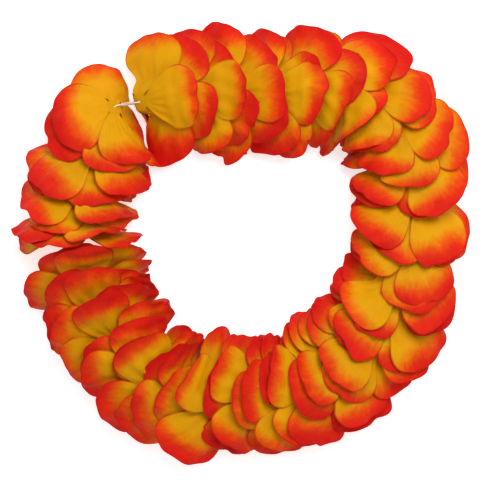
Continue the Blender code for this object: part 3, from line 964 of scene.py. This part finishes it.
def rim_dye_and_shade_share(looks, dye, rim):
    """How much of the rim's darker line shows, partly red dye and partly painted shade: only close to the
    rim, and mostly far out.
    """
    close = looks.between(rim, RIM_LINE, RIM_DYE_AND_SHADE_STRENGTH, 0.0)
    return looks.combine(close, looks.between(dye, RIM_IN, RIM_LEAST, 1.0), "MULTIPLY")


def cloth_bump(looks, cloth, streaks):
    """The small relief of the weave and of the streaks."""
    weave, weft = [looks.add("ShaderNodeTexWave", {"Vector": cloth, "Scale": WEAVE_SCALE},
                             bands_direction=bands).outputs["Fac"] for bands in "XY"]
    woven = looks.combine(looks.combine(weave, weft, "MAXIMUM"), WEAVE_HEIGHT, "MULTIPLY")
    height = looks.combine(woven, looks.combine(streaks, STREAK_HEIGHT, "MULTIPLY"))
    inputs = {"Strength": BUMP_STRENGTH, "Distance": BUMP_DEPTH, "Height": height}
    return looks.add("ShaderNodeBump", inputs).outputs["Normal"]


def fabric_material():
    """Thin woven fabric, dyed from yellow at the middle to red at the tips and along the rims, with a
    darker rim line that is partly painted shade.
    """
    looks = Nodes("Dyed fabric")
    cloth = looks.add("ShaderNodeAttribute", attribute_name="cloth").outputs["Vector"]
    dye = looks.add("ShaderNodeAttribute", attribute_name="dye").outputs["Fac"]
    rim = looks.add("ShaderNodeAttribute", attribute_name="rim").outputs["Fac"]
    streaks = dye_streaks(looks, cloth)
    colour = dye_colour(looks, cloth, dye, streaks)
    return looks.surface({
        # The darker line at the rims is red dye and also painted shade of the petal's turned-away edge.
        "Base Color": looks.mix(rim_dye_and_shade_share(looks, dye, rim), colour, RIM_DYE_AND_SHADE_COLOUR),
        "Roughness": 0.62,
        "Specular IOR Level": 0.08,
        "Sheen Weight": 0.02,
        "Sheen Roughness": 0.4,
        "Subsurface Weight": 0.3,
        "Subsurface Radius": (1.0, 0.35, 0.1),
        "Subsurface Scale": 1.5 * MM,
        "Normal": cloth_bump(looks, cloth, streaks),
    })


def straw_material():
    """Clear thin plastic."""
    return Nodes("Clear plastic").surface({
        "Base Color": (0.98, 0.84, 0.78, 1),
        "Roughness": 0.18,
        "IOR": 1.45,
        "Transmission Weight": 0.75,
    })


def cord_material():
    """White twisted cord."""
    return Nodes("White cord").surface({
        "Base Color": (0.88, 0.80, 0.75, 1),
        "Roughness": 0.7,
    })


def floor_material():
    """A white floor that glows enough to stay white."""
    return Nodes("Pale floor").surface({
        "Base Color": (0.93, 0.93, 0.93, 1),
        "Roughness": 0.9,
        "Emission Color": (1, 1, 1, 1),
        "Emission Strength": FLOOR_GLOW,
    })


def add_floor():
    """The floor that the lei lies on."""
    bpy.ops.mesh.primitive_plane_add(size=FLOOR_SIZE, location=(0, 0, -FLOOR_DROP))
    floor = bpy.context.object
    floor.name = "floor"
    floor.data.materials.append(floor_material())


def add_light():
    """An even white sky and one soft box."""
    world = bpy.data.worlds.new("Studio")
    world.use_nodes = True
    sky = world.node_tree.nodes["Background"].inputs
    sky["Color"].default_value = (1, 1, 1, 1)
    sky["Strength"].default_value = SKY_STRENGTH
    bpy.context.scene.world = world
    lamp = bpy.data.lights.new("Soft box", "AREA")
    lamp.energy = LAMP_POWER
    lamp.size = LAMP_SIZE
    box = linked("Soft box", lamp)
    box.location = LAMP_PLACE
    box.rotation_euler = (-Vector(LAMP_PLACE)).to_track_quat("-Z", "Y").to_euler()


def add_camera():
    """The camera straight above, as in the photograph."""
    data = bpy.data.cameras.new("Camera")
    data.sensor_width = SENSOR
    data.lens = SENSOR * CAMERA_HEIGHT / (FRAME_WIDTH * PIXEL)
    made = linked("Camera", data)
    made.location = (*CAMERA_PLACE, CAMERA_HEIGHT + THREAD_HEIGHT)
    bpy.context.scene.camera = made
    bpy.context.scene.view_settings.view_transform = "Standard"


def main():
    """Sets the view up, and dresses every flower, straw and the cord."""
    add_camera()
    add_floor()
    add_light()
    fabric, clear, cord = fabric_material(), straw_material(), cord_material()
    route = Route()
    draw = random.Random(RELIEF_SEED)
    for number, petals in enumerate(arrange(route)):
        place = Vector(route.to_world(route.stations[number], 0, 0))
        fine_bloom(number, petals, route, place, draw, fabric)
        if number != KNOT_AFTER:
            fine_straw(number + 1, clear)
    fine_cord(route, cord)


main()
